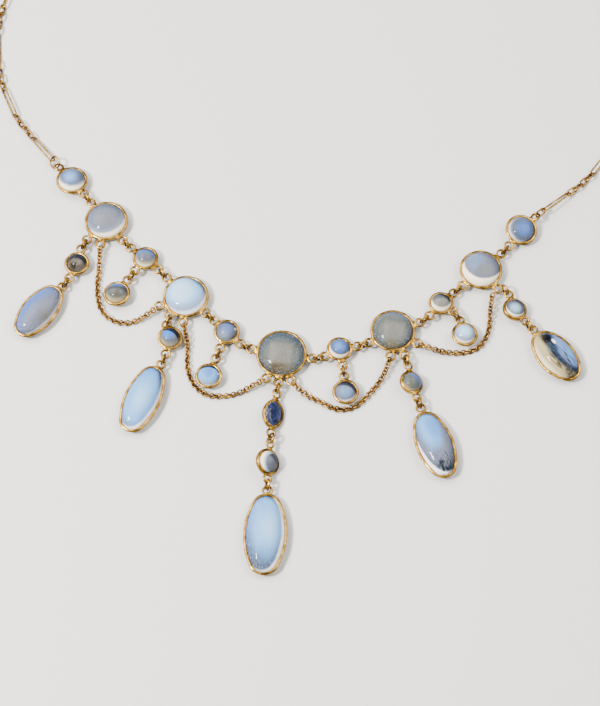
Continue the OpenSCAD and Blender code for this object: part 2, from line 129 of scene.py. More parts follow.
# Fineness of the meshes: steps in a full turn round a rim and a stone and the fewest in an arc,
# sides of a loop, of its solder and of a link, steps of a swag's line from link to link and how
# often it is smoothed, size of the plane that a point is made from, and distance within which
# doubles merge.
RIM_STEPS = 96
STONE_STEPS = 80
FEWEST_STEPS = 3
LOOP_SIDES = {"major_segments": 36, "minor_segments": 14}
FOOT_SIDES = {"segments": 16, "ring_count": 10}
LINK_SIDES = {"major_segments": 14, "minor_segments": 6}
SWAG_STEPS = 12
SWAG_PASSES = 12
POINT_PLANE = 0.1
MERGE_REACH = 0.0005

# The photograph's camera. Its frame and focal length are in pixels, its sensor in millimetres,
# its distance and its aim beside the centre stone in metres, its angles in degrees.
FRAME_WIDTH = 600
FOCAL_PIXELS = 2100
SENSOR = 36.0
NEAR_CLIP = 0.01
CAMERA_DISTANCE = 0.420
CAMERA_ELEVATION = 66.0
CAMERA_TURN = 6.5
AIM_FROM_CENTRE = (0.00357, 0.00123)
PHOTO_LINE = Vector((
    cos(radians(CAMERA_ELEVATION)) * sin(radians(CAMERA_TURN)),
    -cos(radians(CAMERA_ELEVATION)) * cos(radians(CAMERA_TURN)), sin(radians(CAMERA_ELEVATION))))

# The stage, in metres and watts: a table, and area lamps that aim at the necklace's middle.
Lamp = namedtuple("Lamp", "name place size power colour")
LAMPS = [
    Lamp("left window", (-0.38, 0.14, 0.55), (0.52, 0.52), 10.0, (1, 0.98, 0.95)),
    Lamp("right window", (0.38, 0.12, 0.55), (0.52, 0.52), 7.5, (1, 0.98, 0.95)),
    Lamp("front spark", (-0.30, -0.18, 0.42), (0.10, 0.08), 8.0, (1, 1, 1)),
]
LAMP_AIM = (0, -0.02, 0)
ROOM_COLOUR = (0.9, 0.94, 1.0, 1)
ROOM_STRENGTH = 0.1
TABLE_SIZE = 6

# Marks on the gold, in metres: size of the blotches, of the waves in the upper edge of the painted
# shade low down and their height, of the rubbed spots and of the dents, and the depth of both.
BLOTCH_SIZE = 0.0016
LOW_SHADE_WAVE = 0.0007
LOW_SHADE_SWAY = 0.0004
RUB_SIZE = 0.00045
DENT_SIZE = 0.0011
WEAR_DEPTH = 0.00006

# Where the blotches set in, how deep the dents are beside the rubbed spots, how strong both are,
# and how much rubbed spots and the painted shade low down dull the gold.
BLOTCHES = (0.35, 0.7)
DENT_SHARE = 0.6
WEAR_STRENGTH = 0.5
RUB_DULLS = 0.22
LOW_SHADE_DULLS = 0.15

# Marks in a moonstone, in units of its half widths: sizes of the clouds, grain, needles and specks,
# which are painted glints, and how far clouds and grain push the edges of the paints.
CLOUD_SIZE = 0.9
GRAIN_SIZE = 0.12
NEEDLE_SIZE = 0.16
GLINT_SIZE = 0.08
CLOUD_PUSH = 0.14
GRAIN_PUSH = 0.04

# How those marks set in: the values between which they do, and their strengths at both. The
# needles are full within the last share of their reach.
MILK = (0.3, 0.75, 0.0, 0.15)
RIM_SHADE = (0.86, 1.0, 0.0, 0.5)
GLINTS = (0.56, 0.68, 0.0, 1.0)
GLINTS_OUTWARD = (0.7, 0.95, 0.03, 0.14)
NEEDLES_DARK = (0.44, 0.6, 0.0, 0.9)
NEEDLES_FULL = 0.3

# The coat lies on the crown alone: it starts and is full at these shares of the dome's height,
# and then has this weight.
POLISH_START = 0.1
POLISH_FULL = 0.5
POLISH = 0.15

# The paler zones in the sapphire: their size in metres, and where they set in.
ZONE_SIZE = 0.001
ZONES = (0.35, 0.75)


def srgb(red, green, blue):
    """A colour as it shows on a screen, made linear."""
    return tuple(((c / 255 + 0.055) / 1.055) ** 2.4 for c in (red, green, blue)) + (1.0,)


# Colours of the stones, also used for the light and shade painted on them.
TONES = {
    "ice": srgb(146, 180, 204), "sky": srgb(92, 140, 190), "azure": srgb(50, 94, 162),
    "periwinkle": srgb(88, 114, 166), "cornflower": srgb(64, 90, 144), "lavender": srgb(87, 91, 106),
    "lilac": srgb(60, 68, 104), "mist": srgb(122, 131, 148), "haze": srgb(74, 77, 86),
    "pearl": srgb(230, 229, 230), "cream": srgb(232, 219, 190), "dove": srgb(98, 96, 88),
    "ash": srgb(70, 74, 70), "smoke": srgb(60, 67, 78), "steel": srgb(42, 54, 66),
    "slate": srgb(20, 25, 36), "ink": srgb(5, 7, 10), "olive": srgb(84, 78, 58),
    "umber": srgb(66, 54, 36), "moss": srgb(40, 38, 20), "straw": srgb(150, 136, 98),
    "lagoon": srgb(112, 140, 156),
}
# Tones of the crescents where the stone gathers the light, which get a painted glow, and no light at all.
PAINTED_GLOW_TONES = ("pearl", "cream")
DARK = (0.0, 0.0, 0.0, 1.0)


class Socket:
    """A socket of a finish, which takes part in sums."""

    def __init__(self, finish, link):
        self.finish = finish
        self.link = link

    def math(self, operation, *values):
        return self.finish.node("ShaderNodeMath", {"operation": operation}, dict(enumerate(values)))

    def __add__(self, other):
        return self.math("ADD", self, other)

    __radd__ = __add__

    def __sub__(self, other):
        return self.math("SUBTRACT", self, other)

    def __rsub__(self, other):
        return self.math("SUBTRACT", other, self)

    def __mul__(self, other):
        return self.math("MULTIPLY", self, other)

    __rmul__ = __mul__


class Finish:
    """A material with one Principled shader, whose constants sit on its own sockets."""

    def __init__(self, name, **constants):
        self.material = bpy.data.materials.new(name)
        self.material.use_nodes = True
        self.tree = self.material.node_tree
        self.shader = self.tree.nodes["Principled BSDF"]
        self.feed(**constants)

    def node(self, kind, settings=None, sockets=None, out=0):
        made = self.tree.nodes.new(kind)
        for key, value in (settings or {}).items():
            setattr(made, key, value)
        for key, value in (sockets or {}).items():
            self.put(made.inputs[key], value)
        return Socket(self, made.outputs[out])

    def put(self, socket, value):
        if isinstance(value, Socket):
            self.tree.links.new(value.link, socket)
        else:
            socket.default_value = value

    def feed(self, **values):
        for socket, value in values.items():
            self.put(self.shader.inputs[socket.replace("_", " ")], value)

    def object_place(self):
        return self.node("ShaderNodeTexCoord", out="Object")

    def coordinate(self, where, axis):
        return self.node("ShaderNodeSeparateXYZ", {}, {"Vector": where}, axis)

    def vector(self, operation, *values, out="Vector"):
        return self.node("ShaderNodeVectorMath", {"operation": operation}, dict(enumerate(values)), out)

    def mix(self, share, first, second):
        """Mixes two colours, which are the node's sockets 6 and 7, and its output 2."""
        return self.node("ShaderNodeMix", {"data_type": "RGBA"}, {0: share, 6: first, 7: second}, out=2)

    def step(self, value, start, end, low=0.0, high=1.0):
        """Goes smoothly from low to high while value goes from start to end."""
        return self.node(
            "ShaderNodeMapRange", {"interpolation_type": "SMOOTHSTEP"},
            {"Value": value, "From Min": start, "From Max": end, "To Min": low, "To Max": high})

    def noise(self, where, size, detail=2.0):
        """Noise whose blotches are about this size."""
        return self.node("ShaderNodeTexNoise", {}, {"Vector": where, "Scale": 1 / size, "Detail": detail})

    def bump(self, height, strength, depth):
        return self.node(
            "ShaderNodeBump", {}, {"Height": height, "Strength": strength, "Distance": depth})


def gold(name, pale, deep, shade, low, high, roughness):
    """Old gold: blotches of a paler tone, finely rubbed, and darker and duller with painted shade
    from the height high down to low, in metres above the table."""
    look = Finish(name, Metallic=1.0)
    where = look.object_place()
    blotch = look.step(look.noise(where, BLOTCH_SIZE), *BLOTCHES)
    height = look.coordinate(where, "Z")
    # Painted shade: towards the table the gold turns to the shade colour, and it is duller there.
    low_shade = look.step(height + LOW_SHADE_SWAY * look.noise(where, LOW_SHADE_WAVE), low, high, 1.0, 0.0)
    rub = look.noise(where, RUB_SIZE, 3.0)
    wear = rub + DENT_SHARE * look.noise(where, DENT_SIZE)
    look.feed(
        Base_Color=look.mix(low_shade, look.mix(blotch, deep, pale), shade),
        Roughness=roughness + RUB_DULLS * rub + LOW_SHADE_DULLS * low_shade,
        Normal=look.bump(wear, WEAR_STRENGTH, WEAR_DEPTH))
    return look.material


# A tone on a stone, round a place in units of the stone's half widths. It goes from none to its
# strength between two distances from the place, where start is none and full is all of it.
Paint = namedtuple("Paint", "tone x y start full strength square")


def patch(tone, x, y, reach, core, strength, square=False):
    """A tone inside a soft disc, or a soft square, round a place on a stone."""
    return Paint(tone, x, y, reach, core, strength, square)


def edge(tone, x, y, start, full, strength):
    """A tone outside a soft disc, which leaves a crescent along the stone's edge."""
    return Paint(tone, x, y, start, full, strength, False)


def seen_through(look, stone, place, height):
    """Where a point of the stone shows on its middle plane, along the photograph's line."""
    line = stone.turn.transposed() @ PHOTO_LINE
    slant = (line.x / line.z * stone.half_wide / stone.half_long, line.y / line.z, 1)
    sunk = look.node("ShaderNodeVectorMath", {"operation": "SCALE"}, {0: slant, "Scale": height})
    return look.vector("SUBTRACT", place, sunk)


def distance_from(look, across, paint):
    """How far a place is from a paint's middle, counted in a straight line or as a square does."""
    middle = (paint.x, paint.y, 0)
    if not paint.square:
        return look.vector("DISTANCE", across, middle, out="Value")
    off = look.vector("ABSOLUTE", look.vector("SUBTRACT", across, middle))
    sides = [look.coordinate(off, axis) for axis in "XY"]
    return sides[0].math("MAXIMUM", *sides)


def painted(look, colour, across, ragged, paints):
    """The colour with the paints over it, one after the other, and the painted glow of the pearl and cream
    ones.
    """
    painted_glow = DARK
    for paint in paints:
        tone = TONES[paint.tone]
        off = distance_from(look, across, paint) + ragged
        mask = look.step(off, paint.start, paint.full, 0.0, paint.strength)
        colour = look.mix(mask, colour, tone)
        painted_glow = look.mix(mask, painted_glow, tone if paint.tone in PAINTED_GLOW_TONES else DARK)
    return colour, painted_glow


# Dark needles round a place on a stone: their reach, their angle in degrees and their length.
Needles = namedtuple("Needles", "x y reach angle length")


def needled(look, colour, place, across, needles):
    """The colour with dark needles in it."""
    stretched = look.node(
        "ShaderNodeMapping", {"vector_type": "TEXTURE"},
        {"Vector": place, "Rotation": (0, 0, radians(needles.angle)), "Scale": (needles.length, 1.0, 1.0)})
    off = look.vector("DISTANCE", across, (needles.x, needles.y, 0), out="Value")
    near = look.step(off, needles.reach, NEEDLES_FULL * needles.reach)
    mask = near * look.step(look.noise(stretched, NEEDLE_SIZE, 4.0), *NEEDLES_DARK)
    return look.mix(mask, colour, TONES["ink"])


def moonstone(name, stone, body, paints, needles):
    """Milky stone, with painted light and shade in its paints: glowing crescents, highlights, glints
    and dark rim edges. Its paints run through it along one fixed line, the photograph's, as light
    inside it does."""
    look = Finish(
        name, Roughness=0.3, IOR=1.53, Specular_IOR_Level=0.0, Coat_Roughness=0.07, Coat_IOR=1.53,
        Emission_Strength=0.22, Subsurface_Weight=0.1, Subsurface_Scale=0.001,
        Subsurface_Radius=(0.6, 0.8, 1.0))
    place = look.node(
        "ShaderNodeMapping", {"vector_type": "TEXTURE"},
        {"Vector": look.object_place(), "Location": stone.middle * MM, "Rotation": stone.turn.to_euler(),
         "Scale": (stone.half_long * MM, stone.half_wide * MM, stone.half_wide * MM)})
    height = look.coordinate(place, "Z")
    across = seen_through(look, stone, place, height)
    outward = look.vector("LENGTH", look.vector("MULTIPLY", place, (1, 1, 0)), out="Value")
    cloud = look.noise(place, CLOUD_SIZE, 3.0)
    grain = look.noise(place, GRAIN_SIZE, 3.0)
    ragged = CLOUD_PUSH * cloud + GRAIN_PUSH * grain - (CLOUD_PUSH + GRAIN_PUSH) / 2

    colour = look.mix(look.step(cloud, *MILK), TONES[body], TONES["mist"])
    colour = look.mix(look.step(outward, *RIM_SHADE), colour, TONES["slate"])
    colour, painted_glow = painted(look, colour, across, ragged, paints)
    if needles:
        colour = needled(look, colour, place, across, needles)
    # Painted glints: small pearl specks towards the rim, standing for reflections of the gold behind the
    # edge.
    glint = look.step(look.noise(place, GLINT_SIZE, 1.0), *GLINTS) * look.step(outward, *GLINTS_OUTWARD)
    crown = stone.dome / stone.half_wide
    # Painted glow: the pearl and cream paints feed the emission as well as the colour.
    look.feed(
        Base_Color=look.mix(glint, colour, TONES["pearl"]), Emission_Color=painted_glow,
        Coat_Weight=look.step(height, POLISH_START * crown, POLISH_FULL * crown, 0.0, POLISH))
    return look.material


def sapphire_blue():
    """Dark blue with paler zones."""
    look = Finish("sapphire", Roughness=0.12, IOR=1.76, Specular_IOR_Level=0.12)
    zone = look.step(look.noise(look.object_place(), ZONE_SIZE, 3.0), *ZONES)
    look.feed(Base_Color=look.mix(zone, srgb(22, 25, 46), srgb(44, 50, 88)))
    return look.material


def surface_axes(mesh):
    """A solid's points in millimetres, its surface's middle, and the spreads and axes of that."""
    mesh.calc_loop_triangles()
    points = np.array([v.co for v in mesh.vertices], float) / MM
    corners = points[np.array([t.vertices for t in mesh.loop_triangles])]
    area = np.linalg.norm(
        np.cross(corners[:, 1] - corners[:, 0], corners[:, 2] - corners[:, 0]), axis=1)
    middle = (corners.mean(1) * area[:, None]).sum(0) / area.sum()
    rest = corners - middle
    inner = rest.mean(1)
    # A triangle's moment is that of its corners and nine times that of its own middle.
    moment = (
        np.einsum("tvi,tvj,t->ij", rest, rest, area) + 9 * np.einsum("ti,tj,t->ij", inner, inner, area))
    spreads, axes = np.linalg.eigh(moment)
    return points, middle, spreads, axes


class Stone:
    """Where a stone sits, worked out from its solid: middle of its rim, size and turn."""

    def __init__(self, name):
        self.name = name
        points, middle, spreads, axes = surface_axes(NODES["stone_" + name].data)
        up_at = int(np.argmax(np.abs(axes[2])))
        up = axes[:, up_at] * np.sign(axes[2, up_at])
        shortest, longest = sorted({0, 1, 2} - {up_at}, key=lambda i: spreads[i])
        self.round = spreads[longest] < ROUND_SPREAD * spreads[shortest]
        along = np.array([1.0, 0.0, 0.0]) if self.round else axes[:, longest]
        if not self.round and along[1] > 0:
            along = -along
        along = along - up * (along @ up)
        along = along / np.linalg.norm(along)
        across = np.cross(up, along)
        self.turn = Matrix(np.column_stack([along, across, up]).tolist())
        depth, inset = (SAPPHIRE_DEPTH, SAPPHIRE_INSET) if name == SAPPHIRE else (BACK_DEPTH, STONE_INSET)
        self.middle = Vector(middle + up * (((points - middle) @ up).min() + depth))
        self.half_long = float(np.ptp((points - middle) @ along)) / 2
        self.half_wide = float(np.ptp((points - middle) @ across)) / 2
        self.rim_long = self.half_long + inset
        self.rim_wide = self.half_wide + inset
        self.end_radius = self.rim_long if self.round else OVAL_END * self.rim_wide
        if self.round:
            self.dome = DOME["large" if self.half_long > LARGE_RADIUS - STONE_INSET else "small"]
        else:
            self.dome = DOME["oval"]

    def arcs(self):
        """The outline from the middle of one end: centre and angle of each arc."""
        if self.round:
            return [((0, 0), 360)]
        end = self.end_radius
        out = self.rim_long - end
        side = (out ** 2 + self.rim_wide ** 2 - end ** 2) / (2 * (self.rim_wide - end))
        down = side - self.rim_wide
        spread = degrees(atan2(out, down))
        return [
            ((out, 0), 90 - spread), ((0, -down), 2 * spread), ((-out, 0), 180 - 2 * spread),
            ((0, down), 2 * spread), ((out, 0), 90 - spread)]

    def matrix(self):
        """From the stone's own millimetres to the necklace's millimetres."""
        return Matrix.Translation(self.middle) @ self.turn.to_4x4()


# Modelling by operators. Each piece is made in millimetres and then placed.
def fresh():
    if bpy.context.object and bpy.context.object.mode != "OBJECT":
        bpy.ops.object.mode_set(mode="OBJECT")
    bpy.ops.object.select_all(action="DESELECT")


def edit():
    bpy.ops.object.mode_set(mode="EDIT")


def choose(test):
    """In edit mode, selects the vertices whose place passes the test, and only those."""
    bpy.ops.mesh.select_mode(type="VERT")
    bpy.ops.mesh.select_all(action="DESELECT")
    bpy.ops.object.mode_set(mode="OBJECT")
    for v in bpy.context.object.data.vertices:
        v.select = bool(test(v.co))
    edit()


def point_at(x, z):
    """Starts a mesh in edit mode as one point: a small plane, merged."""
    fresh()
    bpy.ops.mesh.primitive_plane_add(size=POINT_PLANE, location=(0, 0, 0))
    edit()
    bpy.ops.mesh.merge(type="CENTER")
    bpy.ops.mesh.select_all(action="SELECT")
    bpy.ops.transform.translate(value=(x, 0, z))


def spin_round(arcs, steps_round):
    """Spins what is selected along the arcs of an outline."""
    for (x, y), angle in arcs:
        steps = max(FEWEST_STEPS, round(steps_round * angle / 360))
        bpy.ops.mesh.spin(steps=steps, angle=radians(angle), center=(x, y, 0), axis=(0, 0, -1))


def tidy_mesh():
    bpy.ops.mesh.select_all(action="SELECT")
    bpy.ops.mesh.remove_doubles(threshold=MERGE_REACH)
    bpy.ops.mesh.normals_make_consistent(inside=False)


def apply_modifier(kind, **settings):
    piece = bpy.context.object
    bpy.ops.object.modifier_add(type=kind)
    modifier = piece.modifiers[-1]
    for key, value in settings.items():
        setattr(modifier, key, value)
    bpy.ops.object.modifier_apply(modifier=modifier.name)


def put_in_place(piece, matrix):
    piece.data.transform(matrix)
    piece.matrix_world = Matrix.Identity(4)


def joined(pieces):
    """Joins pieces into the first of them, which stays active."""
    fresh()
    for piece in pieces:
        piece.select_set(True)
    bpy.context.view_layer.objects.active = pieces[0]
    bpy.ops.object.join()
    return pieces[0]


def rim_strip(stone):
    """The gold strip round a stone, with its lip pressed in over it."""
    section = STRAIGHT_WALL if stone.name in STRAIGHT else LEANING_WALL
    point_at(stone.rim_long + section[0][0], section[0][1])
    for (x0, z0), (x1, z1) in zip(section, section[1:]):
        bpy.ops.mesh.extrude_region_move(TRANSFORM_OT_translate={"value": (x1 - x0, 0, z1 - z0)})
    bpy.ops.mesh.select_all(action="SELECT")
    bpy.ops.mesh.edge_face_add()
    bpy.ops.mesh.delete(type="ONLY_FACE")
    bpy.ops.mesh.select_all(action="SELECT")
    spin_round(stone.arcs(), RIM_STEPS)
    tidy_mesh()
    fresh()
    return bpy.context.object


# A soldered loop: where its end of the outline has its middle, its bearing, reach and twist.
Loop = namedtuple("Loop", "start bearing reach twist")


def loops_of(stone):
    """Finds the loops of a setting on its solid, beyond its ends' circles. Where an oval's side
    bulges past them, it finds a place that has no reach."""
    mesh = NODES["setting_" + stone.name].data
    back = stone.matrix().inverted()
    local = np.array([back @ (v.co / MM) for v in mesh.vertices], float)
    out = stone.rim_long - stone.end_radius
    ends = [0.0] if stone.round else [out, -out]
    loops = []
    for end in ends:
        x = local[:, 0] - end
        y = local[:, 1]
        off = np.hypot(x, y) - stone.end_radius
        keep = (off > LOOP_CLEAR) & ((x * end >= 0) | (end == 0))
        if not keep.any():
            continue
        angles = np.degrees(np.arctan2(y[keep], x[keep])) % 360
        order = np.argsort(angles)
        angles = angles[order]
        offs = off[keep][order]
        heights = local[keep, 2][order]
        gaps = np.diff(np.append(angles, angles[0] + 360))
        cuts = np.flatnonzero(gaps > LOOP_GAP)
        turned = np.roll(np.arange(len(angles)), -(cuts[0] + 1))
        for piece in np.split(turned, np.flatnonzero(np.isin(turned, cuts))[:-1] + 1):
            turns = np.unwrap(np.radians(angles[piece]))
            bearing = (turns.min() + turns.max()) / 2
            reach = offs[piece].max() - LOOP_RADIUS - LOOP_WIRE / 2
            aside = (offs[piece] + stone.end_radius) * np.sin(turns - bearing)
            slope = (aside * heights[piece]).sum() / (aside * aside).sum() if reach > 0 else 0.0
            loops.append(Loop(Vector((end, 0, 0)), float(bearing), float(reach), atan2(slope, 1)))
    return loops


def loop_wire(stone, loop):
    """A loop of wire, cut off inside the rim's wall."""
    away = Vector((cos(loop.bearing), sin(loop.bearing), 0))
    centre = loop.start + away * (stone.end_radius + loop.reach)
    fresh()
    bpy.ops.mesh.primitive_torus_add(
        major_radius=LOOP_RADIUS, minor_radius=LOOP_WIRE / 2, rotation=(loop.twist, 0, 0), **LOOP_SIDES)
    wire = bpy.context.object
    bpy.ops.object.transform_apply(location=True, rotation=True, scale=True)
    put_in_place(wire, Matrix.Translation(centre) @ Matrix.Rotation(loop.bearing, 4, "Z"))
    edit()
    bpy.ops.mesh.select_all(action="SELECT")
    bpy.ops.mesh.bisect(
        plane_co=loop.start + away * (stone.end_radius - LOOP_CUT), plane_no=away,
        clear_inner=True, use_fill=True)
    return wire


def solder(stone, loop):
    """The solder that spreads at a loop's foot."""
    away = Vector((cos(loop.bearing), sin(loop.bearing), 0))
    centre = loop.start + away * (stone.end_radius + FOOT_OUT)
    turn = Matrix.Rotation(loop.bearing, 4, "Z")
    fresh()
    bpy.ops.mesh.primitive_uv_sphere_add(radius=1.0, **FOOT_SIDES)
    foot = bpy.context.object
    put_in_place(foot, Matrix.Translation(centre) @ turn @ Matrix.Diagonal(FOOT_HALVES + (1,)))
    return foot


# The waves of a setting's unevenness.
HAND_WORK = bpy.data.textures.new("hand work", "CLOUDS")
HAND_WORK.noise_scale = UNEVEN_WAVE
HAND_WORK.noise_depth = 1


def bezel(stone):
    """A setting: the rim and its loops, soldered into one skin, with a hand-made unevenness.
    A place that has no reach gets solder alone, which stays inside the rim. What the unevenness
    pushes below the table is cut off."""
    pieces = [rim_strip(stone)]
    for loop in loops_of(stone):
        if loop.reach > 0:
            pieces.append(loop_wire(stone, loop))
        pieces.append(solder(stone, loop))
    whole = joined(pieces)
    put_in_place(whole, stone.matrix())
    apply_modifier("REMESH", mode="VOXEL", voxel_size=FUSING_VOXEL)
    apply_modifier("SMOOTH", factor=0.5, iterations=2)
    apply_modifier(
        "DISPLACE", texture=HAND_WORK, strength=UNEVEN_DEPTH, mid_level=0.5, texture_coords="LOCAL")
    edit()
    bpy.ops.mesh.select_all(action="SELECT")
    bpy.ops.mesh.bisect(plane_co=(0, 0, 0), plane_no=(0, 0, 1), clear_inner=True, use_fill=True)
    fresh()
    whole.select_set(True)
    apply_modifier("DECIMATE", ratio=KEPT_FACES)
    bpy.ops.object.shade_smooth()
    put_in_place(whole, Matrix.Scale(MM, 4))
    whole.name = "bezel_" + stone.name
    return whole


def cabochon(stone):
    """A polished dome on a shallow rounded back with a flat."""
    point_at(stone.rim_long - STONE_INSET, 0)
    spin_round(stone.arcs(), STONE_STEPS)
    bpy.ops.mesh.select_all(action="SELECT")
    bpy.ops.mesh.remove_doubles(threshold=MERGE_REACH)
    levels = [(sqrt(1 - (depth / (BACK_DEPTH + BACK_CUT)) ** 2), -depth) for depth in BACK_LEVELS]
    levels.append((1.0, 0.0))
    levels += [(cos(radians(t)), stone.dome * sin(radians(t))) for t in DOME_ANGLES]
    width, height = 1.0, 0.0
    bpy.ops.mesh.select_all(action="SELECT")
    for at, (share, level) in enumerate(levels):
        if at:
            bpy.ops.mesh.extrude_region_move()
        bpy.ops.transform.resize(value=(share / width, share / width, 1), center_override=(0, 0, 0))
        bpy.ops.transform.translate(value=(0, 0, level - height))
        if at == 0:
            bpy.ops.mesh.edge_face_add()
            bpy.ops.mesh.select_all(action="SELECT")
        width, height = share, level
    bpy.ops.mesh.extrude_region_move()
    bpy.ops.mesh.merge(type="CENTER")
    choose(lambda place: hypot(place.x, place.y) < AXIS_REACH and place.z > 0)
    bpy.ops.transform.translate(value=(0, 0, stone.dome - height))
    tidy_mesh()
    fresh()
    dome = bpy.context.object
    dome.select_set(True)
    bpy.ops.object.shade_smooth()
    put_in_place(dome, Matrix.Scale(MM, 4) @ stone.matrix())
    dome.name = "cabochon_" + stone.name
    return dome


def links_of(node):
    """The corners of each link of a swag's solid, in millimetres."""
    fresh()
    source = bpy.data.objects.new("swag copy", NODES[node].data.copy())
    bpy.context.scene.collection.objects.link(source)
    source.select_set(True)
    bpy.context.view_layer.objects.active = source
    put_in_place(source, Matrix.Scale(1 / MM, 4))
    edit()
    bpy.ops.mesh.select_all(action="SELECT")
    bpy.ops.mesh.remove_doubles(threshold=MERGE_REACH)
    bpy.ops.mesh.separate(type="LOOSE")
    fresh()
    links = [piece for piece in bpy.data.objects if piece.name.startswith(source.name)]
    corners = [np.array([v.co for v in link.data.vertices], float) for link in links]
    for link in links:
        bpy.data.objects.remove(link)
    return corners


def walk(centres, start):
    """Length and order of a walk from one centre to the nearest one left, and on to the last."""
    order = [start]
    rest = set(range(len(centres))) - {start}
    length = 0.0
    while rest:
        gaps = {i: float(np.linalg.norm(centres[i] - centres[order[-1]])) for i in rest}
        nearest = min(gaps, key=gaps.get)
        length += gaps[nearest]
        order.append(nearest)
        rest.remove(nearest)
    return length, order


def swag_route(node):
    """Points along a swag, from the loop's wire at one end to the other, in millimetres."""
    corners = links_of(node)
    centres = np.array([(c.min(0) + c.max(0)) / 2 for c in corners])
    order = min(walk(centres, start) for start in range(len(centres)))[1]
    points = [centres[i] for i in order]
    for end, neighbour in ((0, 1), (-1, -2)):
        away = points[end] - points[neighbour]
        away = away / np.linalg.norm(away)
        reach = ((corners[order[end]] - points[end]) @ away).max() - LINK_TIP
        points[end] = points[end] + away * reach
    return np.array(points)


def smooth_run(points, pitch):
    """Even steps of about one pitch along a smooth line through the points."""
    padded = np.vstack([2 * points[0] - points[1], points, 2 * points[-1] - points[-2]])
    shares = np.linspace(0, 1, SWAG_STEPS, endpoint=False)[:, None]
    fine = []
    for before, here, there, after in zip(padded, padded[1:], padded[2:], padded[3:]):
        bend = 2 * before - 5 * here + 4 * there - after + shares * (3 * (here - there) + after - before)
        fine.append(here + shares / 2 * (there - before + shares * bend))
    fine = np.vstack(fine + [points[-1:]])
    for _ in range(SWAG_PASSES):
        fine[1:-1] = (fine[:-2] + 2 * fine[1:-1] + fine[2:]) / 4
    run = np.append(0, np.cumsum(np.linalg.norm(np.diff(fine, axis=0), axis=1)))
    marks = np.linspace(0, run[-1], round(run[-1] / pitch) + 1)
    return np.column_stack([np.interp(marks, run, fine[:, k]) for k in range(3)])


def swag(node, chance):
    """A chain of round links along a swag's route."""
    route = smooth_run(swag_route(node), LINK_PITCH)
    route[:, 2] = np.maximum(route[:, 2], LINK_RADIUS * sin(pi / 4) + LINK_WIRE / 2 + LINK_CLEAR)
    fresh()
    bpy.ops.mesh.primitive_torus_add(major_radius=LINK_RADIUS, minor_radius=LINK_WIRE / 2, **LINK_SIDES)
    first = bpy.context.object
    bpy.ops.object.transform_apply(location=True, rotation=True, scale=True)
    links = []
    for at, place in enumerate(route):
        ahead = Vector(route[min(at + 1, len(route) - 1)] - route[max(at - 1, 0)]).normalized()
        side = ahead.cross(Vector((0, 0, 1))).normalized()
        lie = Matrix([ahead, side, ahead.cross(side)]).transposed().to_4x4()
        roll = radians(45 + 90 * (at % 2) + chance.uniform(-LINK_ROLL, LINK_ROLL))
        yaw = radians(chance.uniform(-LINK_ROLL, LINK_ROLL) / 2)
        link = bpy.data.objects.new("link", first.data.copy())
        bpy.context.scene.collection.objects.link(link)
        turn = Matrix.Rotation(roll, 4, "X") @ Matrix.Rotation(yaw, 4, "Z")
        link.data.transform(Matrix.Translation(place) @ lie @ turn)
        links.append(link)
    bpy.data.objects.remove(first)
    whole = joined(links)
    bpy.ops.object.shade_smooth()
    put_in_place(whole, Matrix.Scale(MM, 4))
    whole.name = "links_" + node
    return whole
